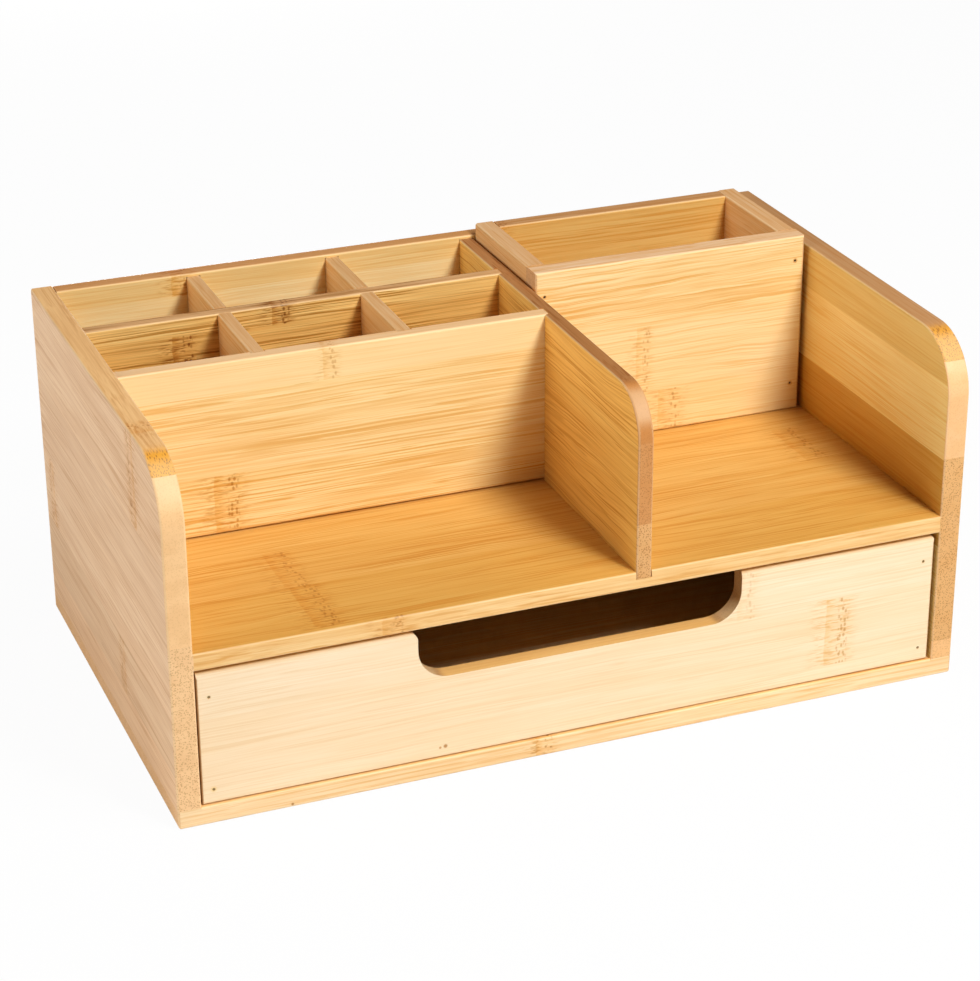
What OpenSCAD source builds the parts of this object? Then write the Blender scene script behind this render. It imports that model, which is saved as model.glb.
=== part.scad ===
// Desk organizer of laminated bamboo board.
// A base board and two side boards carry a shelf, and one wide drawer runs under it.
// On the shelf stand six open compartments, a partition and a loose box.
// X runs to the right, Y to the back and Z up, from the middle of the underside.

/* [Carcass] */
// Width over the two side boards
carcass_w = 335; // [315:1:380]
// Depth from the front edges to the outside of the back panel
carcass_d = 200; // [190:1:230]
// Height from the table to the top of the side boards
carcass_h = 150; // [140:1:175]
// Thickness of the side boards
side_t = 9.5; // [8:0.5:12]
// Thickness of the base board
base_t = 8; // [6:0.5:11]
// Thickness of the back panel
back_t = 7.5; // [6:0.5:10]
// Thickness of the shelf
shelf_t = 7.5; // [6:0.5:9]
// Height of the upper face of the shelf above the table
shelf_top = 74; // [68:1:80]
// Radius of the front top corner of each side board
side_corner_r = 25; // [8:1:40]
// Radius of the upright corners of the base board
base_corner_r = 1; // [0.5:0.5:5]
// Radius of the lower edges at the two ends of the base board
base_end_r = 2; // [0.5:0.5:3]
// Radius that the edges of every board are eased to
ease_r = 1; // [0.4:0.1:1.4]

/* [Joints] */
// Depth of the housings that hold the ends of the boards
housing_depth = 2; // [1:0.5:3]
// Depth of the groove in the shelf that holds the foot of the partition
foot_depth = 3; // [1.5:0.5:4]
// Distance that a hidden housing stays back from an edge that shows
housing_stop = 12; // [6:1:20]
// Thickness of the tongue at each end of the back panel
tongue_t = 4; // [3:0.5:5]
// Depth of the grooves that hold the two bottom panels
groove_depth = 2.5; // [2:0.5:4]
// Play between a board and the housing, groove or lap that holds it
joint_play = 0.1; // [0.05:0.05:0.2]

/* [Partition and compartments] */
// Clear width between the left side board and the partition
left_bay_w = 180; // [160:1:200]
// Thickness of the partition
partition_t = 6.5; // [5.5:0.5:9]
// Radius of the front top corner of the partition
partition_corner_r = 20; // [6:1:35]
// How far the partition and the dividers stop below the side boards
inner_drop = 1.5; // [0.5:0.5:5]
// Depth of the open tray in front of the compartments
tray_d = 94.5; // [80:0.5:105]
// Thickness of the board in front of the compartments
compartment_front_t = 7; // [5.5:0.5:9]
// Clear depth of the front row of compartments
front_row_d = 44.5; // [35:0.5:50]
// Thickness of the divider between the two rows
row_divider_t = 6.5; // [5:0.5:9]
// Thickness of the two short dividers
short_divider_t = 6; // [5:0.5:9]
// Gap left between the shelf and the lower edges of the dividers
grid_foot_gap = 0.6; // [0.2:0.1:0.8]

/* [Loose box] */
// Height of the loose box
box_h = 81; // [70:1:95]
// Distance from the front edges to the face of the loose box
box_from_front = 123; // [100:1:135]
// Gap between the loose box and the partition
box_gap_left = 1; // [0.5:0.1:2]
// Gap between the loose box and the right side board
box_gap_right = 2.2; // [0.5:0.1:3.5]
// Gap between the loose box and the back panel
box_gap_back = 0.5; // [0.3:0.1:2]
// Thickness of the front of the loose box
box_front_t = 10; // [7:0.5:12]
// Thickness of the two sides of the loose box
box_side_t = 8.5; // [7:0.5:10]
// Thickness of the back of the loose box
box_back_t = 8; // [6:0.5:10]
// Thickness of the bottom of the loose box
box_bottom_t = 4; // [3:0.5:6]

/* [Drawer] */
// Gap between the left end of the drawer front and the side board
drawer_gap_left = 0.8; // [0.5:0.1:2.5]
// Gap between the right end of the drawer front and the side board
drawer_gap_right = 1.5; // [0.5:0.1:2.5]
// Gap between the drawer front and the shelf
drawer_gap_top = 1.3; // [0.8:0.1:2.5]
// Gap between the drawer front and the base board
drawer_gap_bottom = 0.4; // [0.3:0.1:2]
// Gap between the drawer and the back panel
drawer_gap_back = 0.5; // [0.3:0.1:2]
// How far the drawer front stands back from the front edges
drawer_recess = 1.2; // [0:0.1:4]
// Thickness of the drawer front
drawer_front_t = 7; // [6:0.5:10]
// Radius that most edges of the drawer front are eased to
drawer_ease_r = 0.5; // [0.3:0.1:1.2]
// Radius of the upper front edge of the drawer front
drawer_edge_r = 3; // [1.5:0.5:4]
// Radius of the upper right corner of the drawer front
drawer_corner_r = 2; // [1:0.5:4]
// Thickness of the two sides and the back of the drawer
drawer_wall_t = 8; // [7:0.5:10]
// How far the drawer walls stop below the top of the drawer front
drawer_wall_drop = 6; // [2:0.5:10]
// Thickness of the drawer bottom
drawer_bottom_t = 4; // [3:0.5:6]
// Height of the underside of a bottom panel above the lower edge of its walls
bottom_lift = 4; // [3:0.5:6]
// Clearance under whatever slides or stands loose
seat_gap = 0.2; // [0.1:0.1:0.3]

/* [Hand cut-out] */
// Width of the cut-out in the drawer front
hand_w = 138; // [80:1:200]
// Depth of the cut-out below the top of the drawer front
hand_depth = 21.5; // [19:0.5:26]
// Radius of the two lower corners of the cut-out
hand_corner_r = 13; // [6:0.5:13.5]
// Radius of the left lip at the mouth of the cut-out
hand_lip_left = 4; // [0.5:0.5:5]
// Radius of the right lip at the mouth of the cut-out
hand_lip_right = 1.5; // [0.5:0.5:5]

/* [Fasteners] */
// Diameter of the brads
brad_d = 1.1; // [0.9:0.1:1.8]
// Length of the brads
brad_l = 22; // [18:1:26]
// Distance of the upper brads below the top of the walls of the loose box
box_brad_drop = 11; // [6:1:20]
// Distance of the lower brads of the loose box above its bottom panel
box_brad_rise = 4.5; // [3:0.5:8]
// Distance of the upper brads below the top of the drawer walls
drawer_brad_drop = 5; // [4:0.5:12]
// Distance of the lower brads above the lower edge of the drawer walls
drawer_brad_rise = 6; // [5:0.5:9]
// Distance of the brads from the outside of the drawer walls
drawer_brad_edge = 4.6; // [3:0.1:6]
// Shank diameter of the wood screws under the base board
screw_d = 3; // [2.5:0.5:4]
// Diameter of the heads of the wood screws
screw_head_d = 6; // [5.5:0.5:8]
// Length of the wood screws
screw_l = 22; // [16:1:30]
// Distance of the outer wood screws from the front and the back
screw_margin = 28; // [15:1:50]
// Number of wood screws under each side board
screws_per_side = 3; // [2:1:4]

/* [Hidden] */

// Smoothness of the arcs
$fn = 48;

// Length that a cutting shape reaches past a face that it opens
past = 1;
// Room at the bottom of a housing or a groove
bottom_room = 0.3;
// Play around a brad or a screw
hole_play = 0.05;
// Compartments side by side in each row
columns = 3;
// How deep a brad or a screw is set below its surface
head_set = 0.3;

// Faces of the carcass
left_x = -carcass_w/2;
right_x = carcass_w/2;
front_y = -carcass_d/2;
rear_y = carcass_d/2;
inner_left = left_x + side_t;
inner_right = right_x - side_t;
back_y = rear_y - back_t;
shelf_under = shelf_top - shelf_t;
inner_top = carcass_h - inner_drop;

// Faces of the partition and the compartments
partition_left = inner_left + left_bay_w;
partition_right = partition_left + partition_t;
partition_foot = shelf_top - foot_depth;
tray_back = front_y + tray_d;
row_one = tray_back + compartment_front_t;
divider_front = row_one + front_row_d;
row_two = divider_front + row_divider_t;
column_w = (left_bay_w - (columns - 1)*short_divider_t)/columns;
short_one = inner_left + column_w;
short_two = short_one + short_divider_t + column_w;
grid_foot = shelf_top + grid_foot_gap;
lap_z = (grid_foot + inner_top)/2;
tongue_y = back_y + (back_t - tongue_t)/2;

// Faces of the loose box
box_x0 = partition_right + box_gap_left;
box_x1 = inner_right - box_gap_right;
box_y0 = front_y + box_from_front;
box_y1 = back_y - box_gap_back;
box_foot = shelf_top + seat_gap;
box_top = box_foot + box_h;
box_inside_y = box_y0 + box_front_t;

// Faces of the drawer
drawer_x0 = inner_left + drawer_gap_left;
drawer_x1 = inner_right - drawer_gap_right;
drawer_y0 = front_y + drawer_recess;
drawer_y1 = back_y - drawer_gap_back;
drawer_foot = base_t + seat_gap;
drawer_inside_y = drawer_y0 + drawer_front_t;
drawer_front_foot = base_t + drawer_gap_bottom;
drawer_front_top = shelf_under - drawer_gap_top;
drawer_wall_top = drawer_front_top - drawer_wall_drop;
hand_floor = drawer_front_top - hand_depth;
// The brads run beside the groove of the bottom panel and stay clear of it
drawer_brad_in = min(drawer_brad_edge, drawer_wall_t - groove_depth - brad_d/2 - hole_play - bottom_room);

// Colours of the boards and the fasteners
bamboo_pale = [0.96, 0.83, 0.62];
bamboo_honey = [0.90, 0.71, 0.45];
bamboo_amber = [0.83, 0.60, 0.34];
bamboo_rose = [0.83, 0.67, 0.52];
dark_steel = [0.34, 0.27, 0.20];
zinc = [0.72, 0.72, 0.70];

// A rectangle with its four corners rounded
module rounded_rect(size, r) {
    translate([r, 0]) square([size.x - 2*r, size.y]);
    translate([0, r]) square([size.x, size.y - 2*r]);
    for (x = [r, size.x - r], y = [r, size.y - r])
        translate([x, y]) circle(r);
}

// Draws an outline in Y and Z out along X
module along_x(length) {
    rotate([90, 0, 90]) linear_extrude(length) children();
}

// Draws an outline in X and Z back along Y
module along_y(length) {
    translate([0, length, 0]) rotate([90, 0, 0]) linear_extrude(length) children();
}

// A plain block between two corners
module block(lo, hi) {
    translate(lo) cube(hi - lo);
}

// A board between two corners, with the long edges eased
module board_x(lo, hi) {
    s = hi - lo;
    translate(lo) along_x(s.x) rounded_rect([s.y, s.z], ease_r);
}

module board_y(lo, hi) {
    s = hi - lo;
    translate(lo) along_y(s.y) rounded_rect([s.x, s.z], ease_r);
}

// A front board, with the edges along X and the front upright ones eased.
// The rear upright edges stay square, flush with the walls behind them.
module face_board(lo, hi, r) {
    s = hi - lo;
    translate(lo) intersection() {
        along_x(s.x) rounded_rect([s.y, s.z], r);
        linear_extrude(s.z) {
            rounded_rect([s.x, s.y], r);
            translate([0, r]) square([s.x, s.y - r]);
        }
    }
}

// An upright board in the YZ plane with a round front top corner and eased edges.
// A disc with a soft rim makes the corner and runs into the two straight edges.
module cornered_board(lo, hi, corner_r) {
    s = hi - lo;
    knee = s.z - corner_r;
    translate(lo) {
        linear_extrude(knee) rounded_rect([s.x, s.y], ease_r);
        intersection() {
            translate([0, corner_r, 0]) along_y(s.y - corner_r) rounded_rect([s.x, s.z], ease_r);
            linear_extrude(s.z) rounded_rect([s.x, s.y], ease_r);
        }
        translate([0, corner_r, knee]) rotate([0, 90, 0]) rotate_extrude() rim_profile(corner_r, s.x);
    }
}

// Half of the section through that disc
module rim_profile(r, t) {
    square([r - ease_r, t]);
    translate([0, ease_r]) square([r, t - 2*ease_r]);
    for (y = [ease_r, t - ease_r])
        translate([r - ease_r, y]) circle(ease_r);
}

// A rod along X or Y, used for brads and their holes
module rod_x(x0, x1, y, z, d) {
    translate([x0, y, z]) rotate([0, 90, 0]) cylinder(d = d, h = x1 - x0);
}

module rod_y(x, y0, y1, z, d) {
    translate([x, y0, z]) rotate([-90, 0, 0]) cylinder(d = d, h = y1 - y0);
}

// Places of the wood screws, in two rows under the side boards
module at_screws() {
    pitch = (carcass_d - 2*screw_margin)/(screws_per_side - 1);
    for (x = [left_x + side_t/2, right_x - side_t/2], i = [0:screws_per_side - 1])
        translate([x, front_y + screw_margin + i*pitch, head_set]) children();
}

// A countersunk wood screw with its head down, and with play as a hole for one
module screw(play) {
    sink = (screw_head_d - screw_d)/2;
    cylinder(d1 = screw_head_d + 2*play, d2 = screw_d + 2*play, h = sink);
    cylinder(d = screw_d + 2*play, h = screw_l + play);
}

module screw_holes() {
    at_screws() {
        screw(hole_play);
        translate([0, 0, -head_set - past])
            cylinder(d = screw_head_d + 2*hole_play, h = head_set + past);
    }
}

// The upper edges of the base board stay square under the side boards
module base_board() {
    color(bamboo_honey) difference() {
        intersection() {
            union() {
                board_x([left_x, front_y, 0], [right_x, rear_y, base_t]);
                for (x = [left_x, inner_right])
                    block([x, front_y, base_t/2], [x + side_t, rear_y, base_t]);
            }
            translate([left_x, front_y, 0]) linear_extrude(base_t)
                rounded_rect([carcass_w, carcass_d], base_corner_r);
            translate([left_x, front_y, 0]) along_y(carcass_d) {
                rounded_rect([carcass_w, base_t], base_end_r);
                translate([0, base_t/2]) square([carcass_w, base_t/2]);
            }
        }
        screw_holes();
    }
}

// The shelf ends in tongues that start behind the front edge, so that no joint shows there
module shelf_ends(room, play) {
    reach = housing_depth - room;
    block([inner_left - reach, front_y + housing_stop - play, shelf_under - play],
          [inner_right + reach, back_y, shelf_top + play]);
}

// The back panel ends in tongues that stop below its top edge
module back_ends(room, play) {
    reach = housing_depth - room;
    block([inner_left - reach, tongue_y - play, base_t - play],
          [inner_right + reach, tongue_y + tongue_t + play, carcass_h - housing_stop + play]);
}

// The cross boards of the compartments, with their ends in the left side board and the partition
module cross_boards(room, play, top) {
    reach = housing_depth - room;
    for (y = [[tray_back, row_one], [divider_front, row_two]])
        block([inner_left - reach, y[0] - play, grid_foot - play],
              [partition_left + reach, y[1] + play, top]);
}

// The short dividers, with their ends in the board in front of them and in the back panel
module short_dividers(room, play, top) {
    reach = housing_depth - room;
    for (x = [short_one, short_two])
        block([x - play, row_one - reach, grid_foot - play],
              [x + short_divider_t + play, back_y + reach, top]);
}

// The short square length that the inner front edge of a side board keeps beside the shelf
module edge_stop(x) {
    intersection() {
        board_x([x, front_y, shelf_under], [x + ease_r, back_y, shelf_top]);
        block([x, front_y, shelf_under], [x + ease_r, front_y + 2*ease_r, shelf_top]);
    }
}

module left_side() {
    color(bamboo_rose) difference() {
        union() {
            cornered_board([left_x, front_y, base_t], [inner_left, rear_y, carcass_h], side_corner_r);
            edge_stop(inner_left - ease_r);
        }
        shelf_ends(0, joint_play);
        back_ends(0, joint_play);
        cross_boards(0, joint_play, inner_top);
        screw_holes();
    }
}

module right_side() {
    color(bamboo_amber) difference() {
        union() {
            cornered_board([inner_right, front_y, base_t], [right_x, rear_y, carcass_h], side_corner_r);
            edge_stop(inner_right);
        }
        shelf_ends(0, joint_play);
        back_ends(0, joint_play);
        screw_holes();
    }
}

module back_panel() {
    color(bamboo_honey) difference() {
        union() {
            board_x([inner_left, back_y, base_t], [inner_right, rear_y, carcass_h]);
            back_ends(bottom_room, 0);
        }
        short_dividers(0, joint_play, inner_top);
        block([partition_left - joint_play, back_y - past, partition_foot - joint_play],
              [partition_right + joint_play, back_y + housing_depth, inner_top]);
    }
}

module shelf_board() {
    color(bamboo_honey) difference() {
        union() {
            board_x([inner_left, front_y, shelf_under], [inner_right, back_y, shelf_top]);
            shelf_ends(bottom_room, 0);
        }
        block([partition_left - joint_play, front_y - past, partition_foot - joint_play],
              [partition_right + joint_play, back_y + past, shelf_top + past]);
    }
}

module centre_partition() {
    back_end = back_y + housing_depth - bottom_room;
    color(bamboo_amber) difference() {
        cornered_board([partition_left, front_y, partition_foot],
                       [partition_right, back_end, inner_top], partition_corner_r);
        cross_boards(0, joint_play, inner_top + past);
    }
}

module compartment_front() {
    reach = housing_depth - bottom_room;
    color(bamboo_pale) difference() {
        board_x([inner_left - reach, tray_back, grid_foot],
                [partition_left + reach, row_one, inner_top]);
        short_dividers(0, joint_play, inner_top + past);
    }
}

// The row divider is notched from below and runs over the short dividers
module row_divider() {
    reach = housing_depth - bottom_room;
    color(bamboo_honey) difference() {
        board_x([inner_left - reach, divider_front, grid_foot],
                [partition_left + reach, row_two, inner_top]);
        for (x = [short_one, short_two])
            block([x - joint_play, divider_front - past, grid_foot - past],
                  [x + short_divider_t + joint_play, row_two + past, lap_z + joint_play/2]);
    }
}

// A short divider is notched from above where it passes under the row divider
module short_divider(x) {
    reach = housing_depth - bottom_room;
    color(bamboo_honey) difference() {
        board_y([x, row_one - reach, grid_foot],
                [x + short_divider_t, back_y + reach, inner_top]);
        block([x - past, divider_front - joint_play, lap_z - joint_play/2],
              [x + short_divider_t + past, row_two + joint_play, inner_top + past]);
    }
}

module short_divider_left() {
    short_divider(short_one);
}

module short_divider_right() {
    short_divider(short_two);
}

// A bottom panel in the grooves of four walls, from the inner faces of the walls.
// With play it is the shape of the grooves.
module bottom_panel(lo, hi, z, t, room, play) {
    reach = groove_depth - room;
    block([lo.x - reach, lo.y - reach, z - play], [hi.x + reach, hi.y + reach, z + t + play]);
}

module box_panel(room, play) {
    bottom_panel([box_x0 + box_side_t, box_inside_y], [box_x1 - box_side_t, box_y1 - box_back_t],
                 box_foot + bottom_lift, box_bottom_t, room, play);
}

// Brads through the front into the sides, and through the sides into the back
module box_brad_set(set, play) {
    d = brad_d + 2*play;
    back = box_y1 - box_back_t/2;
    low = box_foot + bottom_lift + box_bottom_t + box_brad_rise;
    for (z = [low, box_top - box_brad_drop]) {
        for (x = [box_x0 + box_side_t/2, box_x1 - box_side_t/2])
            rod_y(x, box_y0 + set, box_y0 + head_set + brad_l + play, z, d);
        rod_x(box_x0 + set, box_x0 + head_set + brad_l + play, back, z, d);
        rod_x(box_x1 - head_set - brad_l - play, box_x1 - set, back, z, d);
    }
}

module box_cuts() {
    box_panel(0, joint_play);
    box_brad_set(-past, hole_play);
}

module box_front() {
    color(bamboo_pale) difference() {
        face_board([box_x0, box_y0, box_foot], [box_x1, box_inside_y, box_top], ease_r);
        box_cuts();
    }
}

module box_side(x) {
    color(bamboo_amber) difference() {
        board_y([x, box_inside_y, box_foot], [x + box_side_t, box_y1, box_top]);
        box_cuts();
    }
}

module box_left() {
    box_side(box_x0);
}

module box_right() {
    box_side(box_x1 - box_side_t);
}

module box_back() {
    color(bamboo_honey) difference() {
        board_x([box_x0 + box_side_t, box_y1 - box_back_t, box_foot],
                [box_x1 - box_side_t, box_y1, box_top]);
        box_cuts();
    }
}

module box_bottom() {
    color(bamboo_honey) box_panel(bottom_room, 0);
}

module box_brads() {
    color(dark_steel) box_brad_set(head_set, 0);
}

module drawer_panel(room, play) {
    bottom_panel([drawer_x0 + drawer_wall_t, drawer_inside_y],
                 [drawer_x1 - drawer_wall_t, drawer_y1 - drawer_wall_t],
                 drawer_foot + bottom_lift, drawer_bottom_t, room, play);
}

module drawer_brad_set(set, play) {
    d = brad_d + 2*play;
    back = drawer_y1 - drawer_brad_in;
    for (z = [drawer_foot + drawer_brad_rise, drawer_wall_top - drawer_brad_drop]) {
        for (x = [drawer_x0 + drawer_brad_in, drawer_x1 - drawer_brad_in])
            rod_y(x, drawer_y0 + set, drawer_y0 + head_set + brad_l + play, z, d);
        rod_x(drawer_x0 + set, drawer_x0 + head_set + brad_l + play, back, z, d);
        rod_x(drawer_x1 - head_set - brad_l - play, drawer_x1 - set, back, z, d);
    }
}

module drawer_cuts() {
    drawer_panel(0, joint_play);
    drawer_brad_set(-past, hole_play);
}

// The outline of the hand cut-out: a flat floor, two round lower corners
// and two lips that curve over into the top edge of the drawer front.
// Its left and right ends differ, as the ends of a hand-sanded cut-out do.
module hand_outline() {
    half = hand_w/2;
    translate([-half + hand_corner_r, 0]) square([hand_w - 2*hand_corner_r, hand_depth + past]);
    translate([-half, hand_corner_r]) square([hand_w, hand_depth - hand_corner_r + past]);
    for (x = [-half + hand_corner_r, half - hand_corner_r])
        translate([x, hand_corner_r]) circle(hand_corner_r);
    hand_lip(-half, -1, hand_lip_left);
    hand_lip(half, 1, hand_lip_right);
}

// The corner beside the mouth of the cut-out that a rounded lip leaves open
module hand_lip(x, side, r) {
    translate([x, hand_depth - r]) difference() {
        translate([min(side, 0)*r, 0]) square([r, r + past]);
        translate([side*r, 0]) circle(r);
    }
}

// What rounding takes off an upper corner at the origin, a left one with side 1 and a right one with -1
module corner_waste(side, r) {
    translate([0, -r]) difference() {
        translate([side > 0 ? -past : -r, 0]) square(r + past);
        translate([side*r, 0]) circle(r);
    }
}

module drawer_front() {
    color(bamboo_pale) difference() {
        face_board([drawer_x0, drawer_y0, drawer_front_foot],
                   [drawer_x1, drawer_inside_y, drawer_front_top], drawer_ease_r);
        translate([drawer_x0 - past, drawer_y0, drawer_front_top])
            along_x(drawer_x1 - drawer_x0 + 2*past) corner_waste(1, drawer_edge_r);
        translate([drawer_x1, drawer_y0 - past, drawer_front_top])
            along_y(drawer_front_t + 2*past) corner_waste(-1, drawer_corner_r);
        translate([0, drawer_y0 - past, hand_floor]) along_y(drawer_front_t + 2*past) hand_outline();
        drawer_cuts();
    }
}

module drawer_side(x) {
    color(bamboo_honey) difference() {
        board_y([x, drawer_inside_y, drawer_foot], [x + drawer_wall_t, drawer_y1, drawer_wall_top]);
        drawer_cuts();
    }
}

module drawer_left() {
    drawer_side(drawer_x0);
}

module drawer_right() {
    drawer_side(drawer_x1 - drawer_wall_t);
}

module drawer_back() {
    color(bamboo_honey) difference() {
        board_x([drawer_x0 + drawer_wall_t, drawer_y1 - drawer_wall_t, drawer_foot],
                [drawer_x1 - drawer_wall_t, drawer_y1, drawer_wall_top]);
        drawer_cuts();
    }
}

module drawer_bottom() {
    color(bamboo_honey) drawer_panel(bottom_room, 0);
}

module drawer_brads() {
    color(dark_steel) drawer_brad_set(head_set, 0);
}

module base_screws() {
    color(zinc) at_screws() screw(0);
}

base_board();
left_side();
right_side();
back_panel();
shelf_board();
centre_partition();
compartment_front();
row_divider();
short_divider_left();
short_divider_right();
box_front();
box_left();
box_right();
box_back();
box_bottom();
box_brads();
drawer_front();
drawer_left();
drawer_right();
drawer_back();
drawer_bottom();
drawer_brads();
base_screws();
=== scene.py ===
import math

import bmesh
import bpy
from mathutils import Matrix, Vector


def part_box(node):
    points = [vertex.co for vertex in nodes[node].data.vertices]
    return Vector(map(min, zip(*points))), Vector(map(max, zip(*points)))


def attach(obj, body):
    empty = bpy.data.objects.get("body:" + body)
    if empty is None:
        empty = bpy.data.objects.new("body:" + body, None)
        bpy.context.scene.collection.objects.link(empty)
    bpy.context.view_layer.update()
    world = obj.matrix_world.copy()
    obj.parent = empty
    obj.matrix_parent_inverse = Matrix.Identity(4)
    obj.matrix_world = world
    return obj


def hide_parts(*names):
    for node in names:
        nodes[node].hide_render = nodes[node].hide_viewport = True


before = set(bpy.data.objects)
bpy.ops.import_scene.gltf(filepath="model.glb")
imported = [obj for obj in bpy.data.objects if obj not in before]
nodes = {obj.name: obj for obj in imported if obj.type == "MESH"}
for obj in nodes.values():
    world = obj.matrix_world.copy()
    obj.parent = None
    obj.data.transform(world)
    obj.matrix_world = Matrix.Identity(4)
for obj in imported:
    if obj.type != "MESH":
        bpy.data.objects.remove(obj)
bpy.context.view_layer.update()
mm = 0.001
print("frame loaded:", len(nodes), "boards and fasteners")


# ---- colours and small node helpers

def tone(red, green, blue):
    # a colour as a painter reads it from a swatch, 0 to 255, made linear for the shader
    linear = []
    for part in (red, green, blue):
        part = part / 255
        linear.append(part / 12.92 if part <= 0.04045 else ((part + 0.055) / 1.055) ** 2.4)
    return (*linear, 1.0)


def addNode(tree, kind, values=None, **settings):
    node = tree.nodes.new("ShaderNode" + kind)
    for name, value in settings.items():
        setattr(node, name, value)
    for name, value in (values or {}).items():
        if isinstance(value, bpy.types.NodeSocket):
            tree.links.new(value, node.inputs[name])
        else:
            node.inputs[name].default_value = value
    return node


def calc(tree, operation, first, second=0.0, third=0.0):
    return addNode(tree, "Math", {0: first, 1: second, 2: third}, operation=operation).outputs[0]


def ramp01(tree, value, low, high):
    # 0 below low, 1 above high, eased between; low may be the larger one
    return addNode(tree, "MapRange", {"Value": value, "From Min": low, "From Max": high},
                   interpolation_type="SMOOTHSTEP").outputs[0]


def joinXyz(tree, x, y, z):
    return addNode(tree, "CombineXYZ", {"X": x, "Y": y, "Z": z}).outputs[0]


def blendColour(tree, mode, amount, under, over):
    node = addNode(tree, "Mix", data_type="RGBA", blend_type=mode)
    for socket, value in ((0, amount), (6, under), (7, over)):
        if isinstance(value, bpy.types.NodeSocket):
            tree.links.new(value, node.inputs[socket])
        else:
            node.inputs[socket].default_value = value
    return node.outputs[2]


def newGroup(name, inputs, outputs):
    group = bpy.data.node_groups.new(name, "ShaderNodeTree")
    for label in inputs:
        group.interface.new_socket(label, in_out="INPUT", socket_type="NodeSocketFloat")
    for label in outputs:
        group.interface.new_socket(label, in_out="OUTPUT", socket_type="NodeSocketFloat")
    return group, group.nodes.new("NodeGroupInput"), group.nodes.new("NodeGroupOutput")


# ---- the grain of bamboo: long fibres, lines between them, and the ends of the fibre bundles

# a stretch is how fast a pattern changes along the fibres, across them and through the board, per mm
grainLook = {
    "stripShift": 371.0,
    "drift": {"stretch": (0.009, 0.03, 0.02), "detail": 1.0, "rough": 0.5, "reach": 7.0},
    "ripple": {"stretch": (0.06, 0.16, 0.05), "detail": 1.0, "rough": 0.5, "reach": 1.0},
    "broad": {"stretch": (0.012, 0.13, 0.1), "detail": 2.0, "rough": 0.5, "limits": (0.36, 0.64)},
    "thin": {"stretch": (0.013, 1.25, 0.9), "detail": 1.0, "rough": 0.6,
             "dark": (0.5, 0.63), "pale": (0.49, 0.36)},
    "dash": {"stretch": (0.026, 0.62, 0.4), "detail": 2.0, "rough": 0.6, "start": 40.0,
             "dark": (0.6, 0.7), "pale": (0.4, 0.32)},
    "patch": {"stretch": (0.013, 0.2, 0.15), "detail": 1.0, "rough": 0.5, "start": 90.0,
              "limits": (0.38, 0.6), "least": 0.4},
    "fine": {"stretch": (0.04, 2.6, 2.0), "detail": 1.0, "rough": 0.6, "limits": (0.38, 0.66)},
    "bundles": {"stretch": 0.02, "scale": 1.45, "limits": (0.5, 0.16)},
}


def makeGrainGroup():
    look = grainLook
    group, given, result = newGroup("bambooGrain", ["Along", "Across", "Through", "Seed", "Wave"],
                                    ["Broad", "Dark", "Pale", "Fine", "Bundles"])
    along, across, wave = (given.outputs[label] for label in ("Along", "Across", "Wave"))
    depth = calc(group, "MULTIPLY_ADD", given.outputs["Seed"], look["stripShift"], given.outputs["Through"])

    def noise(name, sideways):
        part = look[name]
        stretch = part["stretch"]
        place = joinXyz(group, calc(group, "MULTIPLY_ADD", along, stretch[0], part.get("start", 0.0)),
                        calc(group, "MULTIPLY", sideways, stretch[1]),
                        calc(group, "MULTIPLY", depth, stretch[2]))
        return addNode(group, "TexNoise", {"Vector": place, "Scale": 1.0, "Detail": part["detail"],
                                           "Roughness": part["rough"]}).outputs[0]

    def within(name, value, limits="limits"):
        return ramp01(group, value, *look[name][limits])

    # the fibres wander a little, slowly and in ripples
    bent = across
    for name in ("drift", "ripple"):
        sway = calc(group, "SUBTRACT", noise(name, across), 0.5)
        bent = calc(group, "MULTIPLY_ADD", sway, calc(group, "MULTIPLY", wave, look[name]["reach"]), bent)

    # thin lines and wider dashes, dark and pale by turns, stronger in some places
    thin, dash = noise("thin", bent), noise("dash", bent)
    least = look["patch"]["least"]
    strength = calc(group, "MULTIPLY_ADD", within("patch", noise("patch", bent)), 1.0 - least, least)

    def lines(shade):
        stronger = calc(group, "MAXIMUM", within("thin", thin, shade), within("dash", dash, shade))
        return calc(group, "MULTIPLY", stronger, strength)

    bundles = look["bundles"]
    bundlePlace = joinXyz(group, calc(group, "MULTIPLY", along, bundles["stretch"]), bent, depth)
    cell = addNode(group, "TexVoronoi", {"Vector": bundlePlace, "Scale": bundles["scale"],
                                         "Randomness": 1.0}).outputs["Distance"]
    values = {"Broad": within("broad", noise("broad", bent)), "Dark": lines("dark"), "Pale": lines("pale"),
              "Fine": within("fine", noise("fine", bent)), "Bundles": within("bundles", cell)}
    for label, value in values.items():
        group.links.new(value, result.inputs[label])
    return group


# ---- a knuckle of the cane: a darker band across one strip, strokes on both sides and a row of pits

# a rise or a fade is given in lengths of the band from where it starts
knuckleLook = {
    "through": 0.7,
    "ragged": {"stretch": 0.3, "detail": 2.0, "reach": 2.0},
    "band": {"rise": (0.0, 0.05), "strong": (0.45, 0.1), "fade": (1.3, 0.8), "share": 0.6},
    "mottle": {"stretch": (0.22, 1.1), "detail": 3.0, "rough": 0.65, "limits": (0.35, 0.6), "share": 0.6},
    "stroke": {"stretch": (0.16, 1.2), "detail": 2.0, "rough": 0.6, "limits": (0.5, 0.62),
               "rise": (-0.9, 0.0), "fade": (1.5, 0.7)},
    "pit": {"stretch": (0.62, 0.42), "random": 0.85, "limits": (0.5, 0.2),
            "middle": 0.68, "row": (0.26, 0.12)},
}


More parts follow.
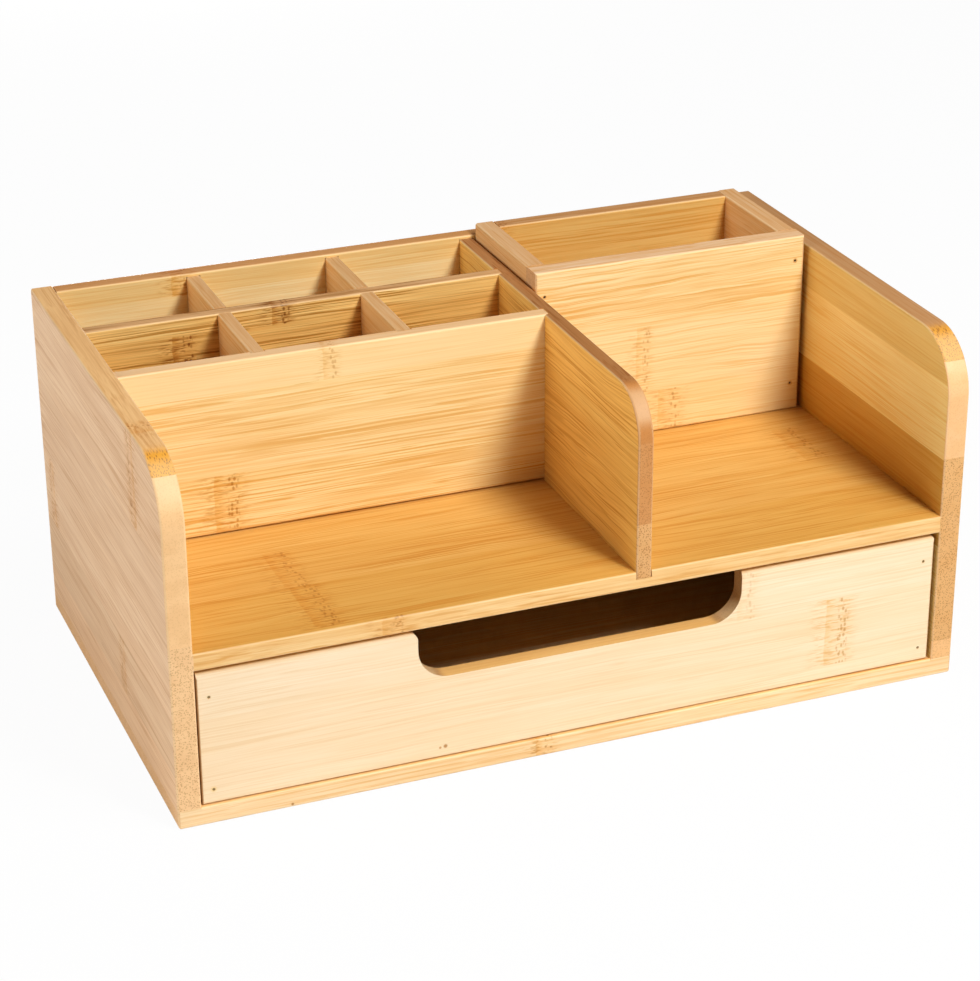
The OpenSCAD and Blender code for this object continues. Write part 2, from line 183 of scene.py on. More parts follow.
def makeKnuckleGroup():
    look = knuckleLook
    band, mottle, stroke, pit = (look[name] for name in ("band", "mottle", "stroke", "pit"))
    group, given, result = newGroup(
        "bambooKnuckle", ["Along", "Across", "Through", "At", "Low", "High", "Length", "Strength"],
        ["Band", "Strokes", "Pits"])
    along, across, at = (given.outputs[label] for label in ("Along", "Across", "At"))
    level = calc(group, "MULTIPLY_ADD", given.outputs["Through"], look["through"], at)

    def times(first, second):
        return calc(group, "MULTIPLY", first, second)

    def spread(part):
        return joinXyz(group, times(along, part["stretch"][0]), times(across, part["stretch"][1]), level)

    def noise(part):
        return addNode(group, "TexNoise", {"Vector": spread(part), "Scale": 1.0, "Detail": part["detail"],
                                           "Roughness": part["rough"]}).outputs[0]

    # how far along the band a point lies, from a ragged start
    ragged = look["ragged"]
    edgePlace = joinXyz(group, times(across, ragged["stretch"]), level, 0.0)
    edge = addNode(group, "TexNoise",
                   {"Vector": edgePlace, "Scale": 1.0, "Detail": ragged["detail"]}).outputs[0]
    shifted = calc(group, "MULTIPLY_ADD", calc(group, "SUBTRACT", edge, 0.5), ragged["reach"], along)
    reach = calc(group, "DIVIDE", calc(group, "SUBTRACT", shifted, at), given.outputs["Length"])

    strong = times(ramp01(group, reach, *band["fade"]), 1.0 - band["share"])
    strong = calc(group, "MULTIPLY_ADD", ramp01(group, reach, *band["strong"]), band["share"], strong)
    patchy = calc(group, "MULTIPLY_ADD", ramp01(group, noise(mottle), *mottle["limits"]), mottle["share"],
                  1.0 - mottle["share"])
    bandValue = times(times(ramp01(group, reach, *band["rise"]), strong), patchy)

    strokeReach = times(ramp01(group, reach, *stroke["rise"]), ramp01(group, reach, *stroke["fade"]))
    strokeValue = times(ramp01(group, noise(stroke), *stroke["limits"]), strokeReach)

    cell = addNode(group, "TexVoronoi", {"Vector": spread(pit), "Scale": 1.0,
                                         "Randomness": pit["random"]}).outputs["Distance"]
    offRow = calc(group, "ABSOLUTE", calc(group, "SUBTRACT", reach, pit["middle"]))
    pitValue = times(ramp01(group, cell, *pit["limits"]), ramp01(group, offRow, *pit["row"]))

    inStrip = times(calc(group, "GREATER_THAN", across, given.outputs["Low"]),
                    calc(group, "LESS_THAN", across, given.outputs["High"]))
    for label, value in (("Band", bandValue), ("Strokes", strokeValue), ("Pits", pitValue)):
        group.links.new(times(times(value, inStrip), given.outputs["Strength"]), result.inputs[label])
    return group


grainGroup = makeGrainGroup()
knuckleGroup = makeKnuckleGroup()


def stripRamp(tree, place, span, steps):
    # one flat colour for each strip, with a number of its own in the alpha
    ramp = addNode(tree, "ValToRGB", {0: place})
    ramp.color_ramp.interpolation = "CONSTANT"
    while len(ramp.color_ramp.elements) < len(steps):
        ramp.color_ramp.elements.new(0.5)
    for index, (edge, colour, number) in enumerate(steps):
        element = ramp.color_ramp.elements[index]
        element.position = max(0.0, (edge - span[0]) / (span[1] - span[0]))
        element.color = (*colour[:3], number)
    return ramp.outputs


# where the long edges, the ends and the eased edges of a board begin, by the direction that they face, and
# the pale tone of the painted highlight on the eased edges
finish = {"onEdge": (0.45, 0.9), "ending": (0.06, 0.35), "arrisSandingAndHighlight": (0.98, 0.85), "stainFacing": (-0.7, -0.95),
          "arrisSandingAndHighlightTone": (255, 232, 186), "endBroad": 0.5, "stainCore": 0.3, "stripStep": 0.37,
          "seedStep": 0.13, "lineRough": 0.08, "fineHeight": 0.4, "lineHeight": -0.6, "bumpStrength": 0.25,
          "bumpDistance": 0.00008, "specular": 0.3}


def bambooMaterial(name, look):
    material = bpy.data.materials.new(name)
    material.use_nodes = True
    tree = material.node_tree
    tree.nodes.clear()
    spot = addNode(tree, "TexCoord")
    inMm = addNode(tree, "VectorMath", {0: spot.outputs["Object"], "Scale": 1000.0},
                   operation="SCALE").outputs[0]
    axes = addNode(tree, "SeparateXYZ", {0: inMm}).outputs
    facing = addNode(tree, "SeparateXYZ", {0: spot.outputs["Normal"]}).outputs
    along, across = axes[look["fibres"]], axes[look["stack"]]
    through = axes[({"X", "Y", "Z"} - {look["fibres"], look["stack"]}).pop()]
    low, high = look["span"]
    place = addNode(tree, "MapRange", {"Value": across, "From Min": low, "From Max": high}).outputs[0]

    def times(first, second):
        return calc(tree, "MULTIPLY", first, second)

    def slope(axis):
        return calc(tree, "ABSOLUTE", facing[axis])

    def tinted(colour, amount, shade):
        return blendColour(tree, "MULTIPLY", amount, colour, (*shade, 1.0))

    # each strip has its tint, its own run of the grain and its strength of lines
    tints, lines = [], []
    for index, (edge, tint, streaks) in enumerate(look["strips"]):
        tints.append((edge, tint, (index * finish["stripStep"] + look["seed"] * finish["seedStep"]) % 1.0))
        lines.append((edge, (0, 0, 0), streaks))
    strips = stripRamp(tree, place, look["span"], tints)
    streaky = stripRamp(tree, place, look["span"], lines)["Alpha"]
    fibres = {"Along": along, "Across": across, "Through": through}
    grain = addNode(tree, "Group", {**fibres, "Seed": strips["Alpha"], "Wave": look["wave"]},
                    node_tree=grainGroup).outputs

    onEdge = ramp01(tree, slope(look["stack"]), *finish["onEdge"])
    colour = blendColour(tree, "MIX", onEdge, tone(*look["base"]), tone(*look["edge"]))
    colour = blendColour(tree, "MULTIPLY", 1.0, colour, strips["Color"])
    for amount, shade in (("broad", "broadTint"), ("fine", "darkTint"), ("pale", "paleTint"),
                          ("dark", "darkTint")):
        strength = times(times(grain[amount.capitalize()], look[amount]), streaky)
        colour = tinted(colour, strength, look[shade])

    # where the fibres come out of the surface their ends show as dots
    ends = stripRamp(tree, place, look["span"],
                     [(edge, tone(*shade), dots) for edge, shade, dots in look["ends"]])
    speckled = tinted(ends["Color"], times(grain["Broad"], finish["endBroad"]), look["broadTint"])
    speckled = tinted(speckled, times(grain["Bundles"], ends["Alpha"]), look["dotTint"])
    ending = ramp01(tree, slope(look["fibres"]), *finish["ending"])
    colour = blendColour(tree, "MIX", ending, colour, speckled)

    for at, bottom, top, length, strength in look["knuckles"]:
        spread = {"At": at, "Low": bottom, "High": top, "Length": length, "Strength": strength}
        knuckle = addNode(tree, "Group", {**fibres, **spread}, node_tree=knuckleGroup).outputs
        for label, shade in (("Band", "knuckleTint"), ("Strokes", "strokeTint"), ("Pits", "pitTint")):
            colour = tinted(colour, knuckle[label], look[shade])

    # round marks on a front face: the filler round a brad, or a dark speck
    for x, z, radius, shade in look["stains"]:
        sides = [calc(tree, "POWER", calc(tree, "SUBTRACT", axes[axis], middle), 2.0)
                 for axis, middle in (("X", x), ("Z", z))]
        away = calc(tree, "SQRT", calc(tree, "ADD", *sides))
        stain = times(ramp01(tree, away, radius, radius * finish["stainCore"]),
                      ramp01(tree, facing["Y"], *finish["stainFacing"]))
        colour = tinted(colour, stain, shade)

    # the eased edges get a painted highlight: a pale tone mixed in on their rounding, which also stands for
    # their sanded paleness
    flat = calc(tree, "MAXIMUM", slope("X"), calc(tree, "MAXIMUM", slope("Y"), slope("Z")))
    arrisSandingAndHighlight = times(ramp01(tree, flat, *finish["arrisSandingAndHighlight"]), look["arrisSandingAndHighlight"])
    colour = blendColour(tree, "MIX", arrisSandingAndHighlight, colour, tone(*finish["arrisSandingAndHighlightTone"]))

    rough = calc(tree, "MULTIPLY_ADD", grain["Dark"], finish["lineRough"], look["rough"])
    height = calc(tree, "MULTIPLY_ADD", grain["Fine"], finish["fineHeight"],
                  times(grain["Dark"], finish["lineHeight"]))
    bump = addNode(tree, "Bump", {"Height": height, "Strength": finish["bumpStrength"],
                                  "Distance": finish["bumpDistance"]})
    shader = addNode(tree, "BsdfPrincipled", {"Base Color": colour, "Roughness": rough,
                                              "Normal": bump.outputs[0],
                                              "Specular IOR Level": finish["specular"]})
    addNode(tree, "OutputMaterial", {"Surface": shader.outputs[0]})
    return material


# what a board has unless it says otherwise; places in mm, colours as seen, tints as factors:
# strips: from, tint, strength of lines; ends: from, colour, dots;
# knuckles: start, bottom, top, length, strength; stains: x, z, radius, tint; the strength of the painted
# highlight on the eased edges is given as well
plain = {"fibres": "X", "stack": "Z", "span": (0.0, 160.0), "wave": 0.5, "broad": 0.5, "dark": 0.6,
         "pale": 0.5, "fine": 0.3, "base": (240, 196, 130), "edge": (232, 188, 128),
         "broadTint": (0.94, 0.88, 0.76), "darkTint": (0.86, 0.68, 0.4), "paleTint": (1.05, 1.2, 1.45),
         "dotTint": (0.6, 0.45, 0.3), "knuckleTint": (0.92, 0.75, 0.46), "strokeTint": (0.76, 0.58, 0.34),
         "pitTint": (0.62, 0.42, 0.2), "rough": 0.5, "arrisSandingAndHighlight": 0.25, "seed": 0,
         "strips": [(0.0, (1, 1, 1), 1)], "ends": [(0.0, (226, 180, 126), 0.5)], "knuckles": [], "stains": []}


def dressBoard(node, look):
    material = bambooMaterial("bamboo_" + node, {**plain, **look})
    for slot in nodes[node].material_slots:
        slot.material = material
    print("dressed", node)


# ---- carcass

dressBoard("base_board", {
    "stack": "Y", "span": (-101.0, 101.0), "base": (246, 200, 136), "edge": (253, 219, 170), "seed": 1,
    "strips": [(-101.0, (1, 1, 1), 1), (-62.0, (0.96, 0.94, 0.9), 1), (-30.0, (1, 0.98, 0.95), 1),
               (6.0, (0.93, 0.9, 0.86), 1), (40.0, (1, 1, 1), 1), (72.0, (0.95, 0.93, 0.9), 1)],
    "ends": [(-101.0, (236, 192, 140), 0.4)],
    "knuckles": [(60.0, -62.0, -30.0, 11.0, 0.5), (-90.0, 6.0, 40.0, 11.0, 0.5),
                 (-20.7, -101.0, -97.0, 8.0, 0.9)],
    "stains": [(-122.0, 1.4, 0.8, (0.5, 0.34, 0.18))]})

dressBoard("left_side", {
    "fibres": "Y", "base": (247, 211, 170), "edge": (248, 201, 139), "darkTint": (0.8, 0.7, 0.6),
    "broadTint": (0.9, 0.84, 0.78), "paleTint": (1.05, 1.12, 1.2), "seed": 2, "wave": 0.8, "broad": 0.8,
    "dark": 0.7, "pale": 0.5,
    "strips": [(0.0, (1, 0.98, 0.95), 1), (22.0, (0.95, 0.95, 0.94), 1), (46.5, (1, 1, 1), 1),
               (77.5, (0.97, 0.96, 0.95), 1), (110.0, (1, 0.99, 0.97), 1)],
    "ends": [(0.0, (249, 206, 153), 0.6), (77.5, (249, 204, 148), 0.15), (143.5, (240, 168, 40), 0.9)],
    "dotTint": (0.5, 0.34, 0.16),
    "knuckles": [(-64.0, 110.0, 151.0, 10.0, 0.7), (82.0, 46.5, 77.5, 9.0, 0.7),
                 (-29.0, 22.0, 46.5, 8.0, 0.5)]})

dressBoard("right_side", {
    "fibres": "Y", "base": (255, 227, 150), "edge": (212, 166, 124), "seed": 3, "dark": 0.6, "pale": 0.4,
    "strips": [(0.0, (0.9, 0.86, 0.78), 1), (16.0, (0.96, 0.93, 0.86), 1), (60.0, (0.72, 0.54, 0.28), 1),
               (98.5, (1, 1, 1), 1), (130.7, (0.85, 0.77, 0.62), 0.8)],
    "ends": [(0.0, (244, 192, 132), 0.35), (16.0, (228, 176, 114), 0.7), (99.0, (245, 195, 140), 0.15),
             (140.0, (226, 158, 48), 1.0)], "dotTint": (0.46, 0.32, 0.14),
    "knuckles": [(-20.0, 16.0, 60.0, 10.0, 0.5), (60.0, 104.0, 140.0, 10.0, 0.5)]})

dressBoard("back_panel", {
    "base": (255, 229, 170), "edge": (216, 164, 111), "seed": 4, "dark": 0.4, "pale": 0.4,
    "strips": [(0.0, (1, 1, 1), 1), (36.0, (0.95, 0.92, 0.86), 1), (70.0, (1, 0.99, 0.96), 1),
               (105.0, (0.97, 0.95, 0.92), 1), (120.0, (1.0, 1.0, 1.0), 1), (140.5, (0.95, 0.86, 0.7), 1)],
    "knuckles": [(-109.0, 140.5, 151.0, 9.0, 0.9), (40.0, 36.0, 70.0, 10.0, 0.6),
                 (-60.0, 70.0, 105.0, 10.0, 0.5)]})

dressBoard("shelf_board", {
    "stack": "Y", "span": (-101.0, 95.0), "base": (229, 180, 100), "edge": (252, 214, 162), "seed": 5,
    "wave": 1.2, "dark": 0.75, "pale": 0.5,
    "strips": [(-101.0, (0.95, 0.88, 0.7), 1), (-61.5, (0.98, 0.94, 0.86), 1.2), (-30.0, (1, 1, 1), 1),
               (4.5, (0.95, 0.92, 0.87), 1), (36.0, (1, 1, 1), 1), (66.0, (0.96, 0.94, 0.9), 1)],
    "knuckles": [(-110.0, -61.5, -30.0, 11.0, 0.6), (-109.0, -97.5, -61.5, 12.0, 0.7),
                 (133.0, -30.0, 4.5, 12.0, 0.6), (-84.0, -101.0, -98.5, 10.0, 0.7)]})

dressBoard("centre_partition", {
    "fibres": "Y", "base": (248, 200, 106), "edge": (180, 126, 77), "seed": 6, "wave": 1.3, "dark": 0.9,
    "pale": 0.5, "darkTint": (0.7, 0.54, 0.34),
    "strips": [(0.0, (0.97, 0.95, 0.92), 1), (94.2, (0.94, 0.9, 0.84), 1), (128.5, (1, 0.96, 0.9), 1)],
    "ends": [(0.0, (224, 172, 112), 1.0), (94.2, (208, 146, 84), 0.7), (128.5, (200, 134, 70), 0.2)]})

dressBoard("compartment_front", {
    "base": (253, 225, 168), "edge": (242, 198, 146), "seed": 7, "dark": 0.8, "pale": 0.6, "broad": 0.45,
    "wave": 0.3,
    "strips": [(0.0, (1, 0.97, 0.86), 1.3), (100.0, (0.99, 0.965, 0.89), 1), (134.5, (1, 1, 1), 0.3)],
    "knuckles": [(-121.5, 73.0, 100.0, 12.0, 0.8), (-74.0, 134.5, 149.0, 6.5, 0.5)]})

dressBoard("row_divider", {
    "base": (255, 212, 131), "edge": (222, 172, 118), "seed": 8, "dark": 1.0, "pale": 0.7,
    "darkTint": (0.56, 0.42, 0.22), "knuckleTint": (0.72, 0.52, 0.28), "strokeTint": (0.5, 0.34, 0.18),
    "pitTint": (0.42, 0.26, 0.12),
    "strips": [(0.0, (0.88, 0.8, 0.66), 1), (110.0, (0.9, 0.82, 0.7), 1), (141.0, (1, 1, 1), 1)],
    "knuckles": [(-79.0, 140.0, 149.0, 9.0, 0.9), (-122.0, 110.0, 141.0, 10.0, 0.9)]})

for index, node in enumerate(("short_divider_left", "short_divider_right")):
    dressBoard(node, {
        "fibres": "Y", "base": (240, 194, 130), "edge": (226, 180, 128), "seed": 9 + index, "dark": 0.6,
        "pale": 0.4,
        "strips": [(0.0, (0.95, 0.92, 0.86), 1), (112.0, (1, 0.98, 0.95), 1)]})

# ---- loose box

dressBoard("box_front", {
    "base": (254, 229, 175), "edge": (242, 202, 161), "seed": 11, "dark": 0.6, "pale": 0.4, "broad": 0.45,
    "wave": 1.3,
    "strips": [(0.0, (1, 0.98, 0.93), 0.8), (93.5, (1, 1, 1), 0.8), (124.0, (0.99, 0.96, 0.9), 1.5)],
    "knuckles": [(76.5, 93.5, 124.0, 7.0, 0.5), (87.0, 73.0, 93.5, 12.0, 0.6)],
    "stains": [(151.55, 144.2, 1.5, (0.7, 0.5, 0.28)), (151.55, 86.7, 1.5, (0.76, 0.58, 0.36)),
               (33.75, 144.2, 1.2, (0.85, 0.7, 0.5))]})

for index, node in enumerate(("box_left", "box_right")):
    dressBoard(node, {
        "fibres": "Y", "base": (240, 192, 128), "edge": (230, 184, 134), "seed": 12 + index,
        "strips": [(0.0, (1, 1, 1), 1), (104.0, (0.95, 0.92, 0.88), 1), (136.0, (1, 1, 1), 1)]})

dressBoard("box_back", {
    "base": (236, 189, 108), "edge": (206, 156, 106), "seed": 14, "dark": 0.8, "pale": 0.4,
    "strips": [(0.0, (1, 1, 1), 1), (100.0, (0.96, 0.93, 0.88), 1), (132.0, (1, 1, 1), 1)],
    "knuckles": [(35.0, 132.0, 156.0, 8.0, 0.7)]})

dressBoard("box_bottom", {
    "stack": "Y", "span": (20.0, 95.0), "base": (232, 180, 112), "seed": 15,
    "strips": [(20.0, (1, 1, 1), 1), (48.0, (0.96, 0.94, 0.9), 1), (74.0, (1, 1, 1), 1)]})

# ---- drawer

dressBoard("drawer_front", {
    "base": (255, 231, 196), "edge": (238, 192, 120), "darkTint": (0.93, 0.86, 0.74),
    "broadTint": (0.97, 0.93, 0.86), "paleTint": (1.02, 1.06, 1.14), "knuckleTint": (0.95, 0.82, 0.6),
    "strokeTint": (0.88, 0.74, 0.52), "pitTint": (0.72, 0.54, 0.32), "seed": 16, "dark": 0.6, "pale": 0.6,
    "wave": 0.5,
    "strips": [(0.0, (1, 0.99, 0.96), 1), (14.5, (1, 0.98, 0.95), 1), (45.0, (1, 1, 1), 1)],
    "ends": [(0.0, (190, 146, 96), 0.5)],
    "knuckles": [(107.5, 14.5, 45.0, 12.0, 0.8), (67.0, 43.0, 66.0, 9.0, 0.4)],
    "stains": [(-58.4, 12.7, 1.2, (0.55, 0.36, 0.18)), (-60.6, 12.4, 0.8, (0.7, 0.5, 0.3)),
               (-152.6, 14.2, 1.8, (0.97, 0.9, 0.66)), (-152.6, 54.2, 1.3, (0.96, 0.9, 0.76)),
               (151.9, 54.2, 1.3, (0.97, 0.92, 0.8))]})

for index, node in enumerate(("drawer_left", "drawer_right")):
    dressBoard(node, {
        "fibres": "Y", "base": (246, 224, 190), "seed": 17 + index,
        "strips": [(0.0, (1, 1, 1), 1), (30.0, (0.96, 0.94, 0.9), 1)]})

dressBoard("drawer_back", {
    "base": (246, 224, 190), "seed": 19, "strips": [(0.0, (1, 1, 1), 1), (32.0, (0.96, 0.94, 0.9), 1)]})

dressBoard("drawer_bottom", {
    "stack": "Y", "span": (-100.0, 95.0), "base": (246, 222, 186), "seed": 20,
    "strips": [(-100.0, (1, 1, 1), 1), (-70.0, (0.96, 0.94, 0.9), 1), (-36.0, (1, 1, 1), 1),
               (0.0, (0.95, 0.93, 0.9), 1), (40.0, (1, 1, 1), 1)]})


# ---- metal of the brads and screws

metalLook = {"wearScale": 900.0, "wearDetail": 3.0, "wearLimits": (0.35, 0.7), "wearTone": (226, 222, 216),
             "wearRough": 0.2}


def metalMaterial(name, colour, rough):
    material = bpy.data.materials.new(name)
    material.use_nodes = True
    tree = material.node_tree
    tree.nodes.clear()
    spot = addNode(tree, "TexCoord")
    wear = addNode(tree, "TexNoise", {"Vector": spot.outputs["Object"], "Scale": metalLook["wearScale"],
                                      "Detail": metalLook["wearDetail"]}).outputs[0]
    worn = ramp01(tree, wear, *metalLook["wearLimits"])
    shade = blendColour(tree, "MULTIPLY", worn, tone(*colour), tone(*metalLook["wearTone"]))
    rough = calc(tree, "MULTIPLY_ADD", wear, metalLook["wearRough"], rough)
    shader = addNode(tree, "BsdfPrincipled", {"Base Color": shade, "Metallic": 1.0, "Roughness": rough})
    addNode(tree, "OutputMaterial", {"Surface": shader.outputs[0]})
    return material


bradMetals = {"box_brads": metalMaterial("brad_dark_steel", (92, 72, 54), 0.4),
              "drawer_brads": metalMaterial("brad_bright_steel", (176, 156, 112), 0.35)}
screwMetal = metalMaterial("screw_zinc", (196, 194, 188), 0.28)


# ---- brads and wood screws, each shaped once with its head at the origin and its point towards +Z

def pick(piece, wanted):
    # in edit mode, selects only the faces whose middle and normal pass the test
    bpy.ops.mesh.select_all(action="DESELECT")
    shape = bmesh.from_edit_mesh(piece.data)
    for face in shape.faces:
        if wanted(face.calc_center_median(), face.normal):
            face.select_set(True)
    bmesh.update_edit_mesh(piece.data)


def startPiece(name, adder, **start):
    bpy.ops.object.select_all(action="DESELECT")
    adder(**start)
    piece = bpy.context.active_object
    piece.name = piece.data.name = name
    bpy.ops.object.transform_apply()
    return piece


def applyModifier(piece, kind, **settings):
    bpy.context.view_layer.objects.active = piece
    modifier = piece.modifiers.new(kind.lower(), kind)
    for name, value in settings.items():
        setattr(modifier, name, value)
    bpy.ops.object.modifier_apply(modifier=modifier.name)


def stretchEnd(piece, length, shrink):
    # draws the far end of a rod out along Z and changes its width
    far = max(vertex.co.z for vertex in bmesh.from_edit_mesh(piece.data).verts)
    pick(piece, lambda middle, normal: normal.z > 0.9 and middle.z > far - 0.01 * mm)
    bpy.ops.mesh.extrude_region_move(TRANSFORM_OT_translate={"value": (0, 0, length)})
    bpy.ops.transform.resize(value=(shrink, shrink, 1))


def cleanPiece(piece, metal):
    bpy.ops.object.select_all(action="DESELECT")
    piece.select_set(True)
    bpy.context.view_layer.objects.active = piece
    bpy.ops.object.mode_set(mode="EDIT")
    bpy.ops.mesh.select_all(action="SELECT")
    bpy.ops.mesh.remove_doubles(threshold=0.001 * mm)
    bpy.ops.mesh.normals_make_consistent(inside=False)
    bpy.ops.object.mode_set(mode="OBJECT")
    bpy.ops.object.shade_smooth_by_angle(angle=math.radians(35))
    piece.data.materials.clear()
    piece.data.materials.append(metal)


def placeCopy(first, name, metal, body, node, place, turn):
    piece = first.copy()
    piece.data = first.data.copy()
    piece.name = piece.data.name = name
    piece.data.materials[0] = metal
    bpy.context.scene.collection.objects.link(piece)
    piece.data.transform(Matrix.Translation(Vector(place)) @ turn.to_4x4())
    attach(piece, body)
    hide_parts(node)


bradLook = {"head": 1.08, "neck": 0.86, "headLength": 0.7, "taper": 0.2, "length": 22.0, "point": 1.6,
            "tip": 0.08, "edge": 0.1, "sides": 20, "inset": {"box_brads": 3.95, "drawer_brads": 4.3}}


def makeBrad():
    look = bradLook
    brad = startPiece("brad", bpy.ops.mesh.primitive_cylinder_add, vertices=look["sides"],
                      radius=look["head"] / 2 * mm, depth=look["headLength"] * mm,
                      location=(0, 0, look["headLength"] / 2 * mm))
    bpy.ops.object.mode_set(mode="EDIT")
    stretchEnd(brad, look["taper"] * mm, look["neck"] / look["head"])
    stretchEnd(brad, (look["length"] - look["headLength"] - look["taper"] - look["point"]) * mm, 1.0)
    stretchEnd(brad, look["point"] * mm, look["tip"])
    pick(brad, lambda middle, normal: normal.z < -0.9)
    bpy.ops.mesh.bevel(offset=look["edge"] * mm, segments=2)
    bpy.ops.object.mode_set(mode="OBJECT")
    cleanPiece(brad, bradMetals["box_brads"])
    return brad


def placeBrads(brad, node, body):
    # in each corner of the front and of the two sides, found from the box round the whole group
    low, high = (Vector(corner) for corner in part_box(node))
    half, inset = bradLook["head"] / 2 * mm, bradLook["inset"][node] * mm
    back = high.y - half
    inward, rightward, leftward = (Matrix.Rotation(math.radians(angle), 3, axis)
                                   for angle, axis in ((-90, "X"), (90, "Y"), (-90, "Y")))
    for row, z in (("low", low.z + half), ("high", high.z - half)):
        for place, spot, turn in (("front_left", (low.x + inset, low.y, z), inward),
                                  ("front_right", (high.x - inset, low.y, z), inward),
                                  ("side_left", (low.x, back, z), rightward),
                                  ("side_right", (high.x, back, z), leftward)):
            name = "_".join((node, place, row))
            placeCopy(brad, name, bradMetals[node], body, node, spot, turn)


screwLook = {"head": 5.96, "rim": 0.2, "sink": 1.45, "core": 2.1, "length": 22.0, "point": 3.2, "tip": 0.06,
             "sides": 32, "thread": 2.96, "root": 0.15, "pitch": 1.3, "ridge": 0.9, "threadFrom": 3.2,
             "steps": 24, "recessStart": 0.75, "recessReach": 1.5, "recessDepth": 1.6,
             "recessNarrow": 0.45, "perSide": 3}


def makeScrew():
    look = screwLook
    screw = startPiece("screw", bpy.ops.mesh.primitive_cylinder_add, vertices=look["sides"],
                       radius=look["head"] / 2 * mm, depth=look["rim"] * mm,
                       location=(0, 0, look["rim"] / 2 * mm))
    bpy.ops.object.mode_set(mode="EDIT")
    stretchEnd(screw, look["sink"] * mm, look["core"] / look["head"])
    stretchEnd(screw, (look["length"] - look["rim"] - look["sink"] - look["point"]) * mm, 1.0)
    stretchEnd(screw, look["point"] * mm, look["tip"])
    bpy.ops.object.mode_set(mode="OBJECT")

    # the thread, a ridge with three sides that winds along the core
    rise = (look["thread"] - look["core"]) / 2 + look["root"]
    turns = math.floor((look["length"] - look["threadFrom"] - look["point"]) / look["pitch"])
    bpy.ops.object.select_all(action="DESELECT")
    bpy.ops.mesh.primitive_circle_add(vertices=3, radius=mm, fill_type="NOTHING",
                                      rotation=(math.radians(90), math.radians(90), 0))
    ridge = bpy.context.active_object
    ridge.scale = (look["ridge"] / math.sqrt(3), rise / 1.5, 1)
    ridge.location = ((look["thread"] / 2 - rise * 2 / 3) * mm, 0, look["threadFrom"] * mm)
    bpy.ops.object.transform_apply()
    applyModifier(ridge, "SCREW", axis="Z", screw_offset=look["pitch"] * mm, iterations=turns,
                  steps=look["steps"], render_steps=look["steps"])
    bpy.ops.object.mode_set(mode="EDIT")
    bpy.ops.mesh.select_all(action="SELECT")
    bpy.ops.mesh.fill_holes(sides=3)
    bpy.ops.mesh.select_all(action="SELECT")
    bpy.ops.mesh.normals_make_consistent(inside=False)
    bpy.ops.object.mode_set(mode="OBJECT")
    applyModifier(screw, "BOOLEAN", operation="UNION", object=ridge, solver="EXACT")
    bpy.data.objects.remove(ridge)

    # a square recess that narrows downwards, cut with a small block whose sides are drawn out in turn
    block = startPiece("recess", bpy.ops.mesh.primitive_cube_add, size=look["recessStart"] * mm)
    bpy.ops.object.mode_set(mode="EDIT")
    half = look["recessStart"] / 2
    draw, outside = (look["recessReach"] - half) * mm, half * mm / 2
    for x, y in ((1, 0), (-1, 0), (0, 1), (0, -1)):
        pick(block, lambda middle, normal: normal.x * x + normal.y * y > 0.9
             and middle.x * x + middle.y * y > outside)
        bpy.ops.mesh.extrude_region_move(TRANSFORM_OT_translate={"value": (x * draw, y * draw, 0)})
    pick(block, lambda middle, normal: normal.z > 0.9)
    bpy.ops.transform.translate(value=(0, 0, (look["recessDepth"] - half) * mm))
    bpy.ops.transform.resize(value=(look["recessNarrow"], look["recessNarrow"], 1))
    bpy.ops.object.mode_set(mode="OBJECT")
    applyModifier(screw, "BOOLEAN", operation="DIFFERENCE", object=block, solver="EXACT")
    bpy.data.objects.remove(block)
    cleanPiece(screw, screwMetal)
    return screw


def placeScrews(screw, node, body):
    low, high = (Vector(corner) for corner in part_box(node))
    half = screwLook["head"] / 2 * mm
    for side, x in (("left", low.x + half), ("right", high.x - half)):
        for index in range(screwLook["perSide"]):
            y = low.y + half + index * (high.y - low.y - 2 * half) / (screwLook["perSide"] - 1)
            placeCopy(screw, "screw_%s_%d" % (side, index + 1), screwMetal, body, node,
                      (x, y, low.z), Matrix.Identity(3))


brad = makeBrad()
placeBrads(brad, "box_brads", "loose_box")
placeBrads(brad, "drawer_brads", "drawer")
bpy.data.objects.remove(brad)
print("brads made")
screw = makeScrew()
placeScrews(screw, "base_screws", "carcass")
bpy.data.objects.remove(screw)
print("screws made")


# ---- floor, lights and camera

floorLook = {"size": 6.0, "colour": (236, 236, 236), "veil": 0.96}

bpy.ops.object.select_all(action="DESELECT")
bpy.ops.mesh.primitive_plane_add(size=floorLook["size"], location=(0, 0, 0))
floor = bpy.context.active_object
floor.name = "floor"
floorPaint = bpy.data.materials.new("floor_paint")
floorPaint.use_nodes = True
tree = floorPaint.node_tree
tree.nodes.clear()
seen = addNode(tree, "LightPath").outputs["Is Camera Ray"]
matt = addNode(tree, "BsdfDiffuse", {"Color": tone(*floorLook["colour"])})
glow = addNode(tree, "Emission", {"Color": (1, 1, 1, 1), "Strength": 1.0})
veil = calc(tree, "MULTIPLY", seen, floorLook["veil"])
paint = addNode(tree, "MixShader", {0: veil, 1: matt.outputs[0], 2: glow.outputs[0]})
addNode(tree, "OutputMaterial", {"Surface": paint.outputs[0]})
floor.data.materials.append(floorPaint)

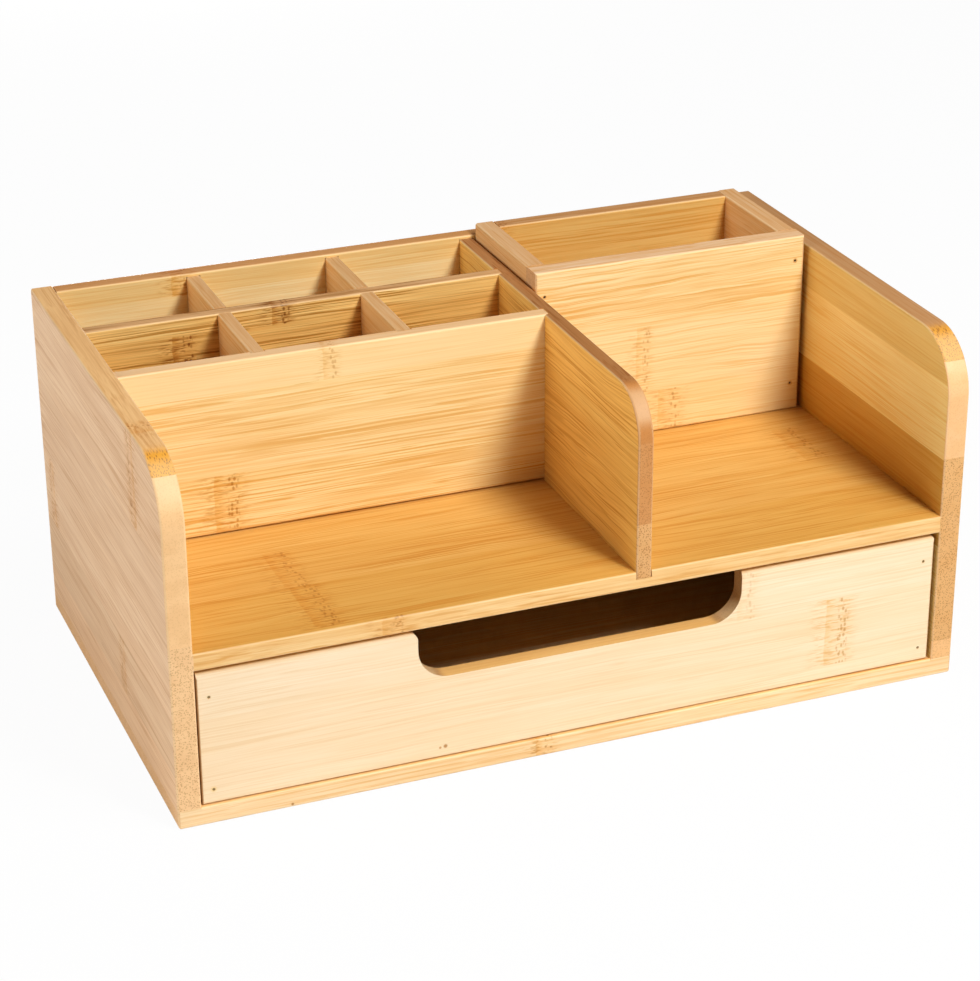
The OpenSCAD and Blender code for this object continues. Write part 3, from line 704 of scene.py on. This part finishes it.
# white where the camera sees it, and a weak warm light for everything else
skyLook = {"ambient": 0.06, "tint": (1.0, 0.95, 0.88)}
world = bpy.data.worlds.new("studio")
bpy.context.scene.world = world
world.use_nodes = True
tree = world.node_tree
tree.nodes.clear()
seen = addNode(tree, "LightPath").outputs["Is Camera Ray"]
strength = calc(tree, "MULTIPLY_ADD", seen, 1.0 - skyLook["ambient"], skyLook["ambient"])
shade = blendColour(tree, "MIX", seen, (*skyLook["tint"], 1.0), (1, 1, 1, 1))
sky = addNode(tree, "Background", {"Color": shade, "Strength": strength})
addNode(tree, "OutputWorld", {"Surface": sky.outputs[0]})

lamps = {
    "key": {"place": (0.38, -1.04, 1.05), "size": 0.28, "power": 13.4, "tint": (1.0, 0.99, 0.97)},
    "high": {"place": (0.42, -0.55, 1.35), "size": 0.5, "power": 9.0, "tint": (1.0, 0.99, 0.97)},
    "left_fill": {"place": (-1.75, 0.15, 0.62), "size": 0.9, "power": 16.0, "tint": (1.0, 0.97, 0.97)},
    "rear_fill": {"place": (0.25, 1.5, 0.1), "size": 0.2, "power": 9.0, "tint": (1.0, 0.97, 0.94)},
}
aimPoint = (0, 0, 0.07)
for name, lamp in lamps.items():
    light = bpy.data.lights.new(name, "AREA")
    light.size = lamp["size"]
    light.energy = lamp["power"]
    light.color = lamp["tint"]
    holder = bpy.data.objects.new(name, light)
    bpy.context.scene.collection.objects.link(holder)
    holder.location = lamp["place"]
    aim = Vector(aimPoint) - holder.location
    holder.rotation_euler = aim.to_track_quat("-Z", "Y").to_euler()

view = {"place": (-0.38461, -0.98219, 0.55875), "turn": (65.1613, 0.3095, -21.5078), "lens": 101.464,
        "sensor": 36.0, "clip": (0.01, 20.0)}
camera = bpy.data.objects.new("camera", bpy.data.cameras.new("camera"))
bpy.context.scene.collection.objects.link(camera)
camera.location = view["place"]
camera.rotation_euler = [math.radians(angle) for angle in view["turn"]]
camera.data.lens = view["lens"]
camera.data.sensor_width = view["sensor"]
camera.data.clip_start, camera.data.clip_end = view["clip"]
bpy.context.scene.camera = camera
bpy.context.scene.view_settings.view_transform = "Standard"
print("floor, lamps and camera in place")
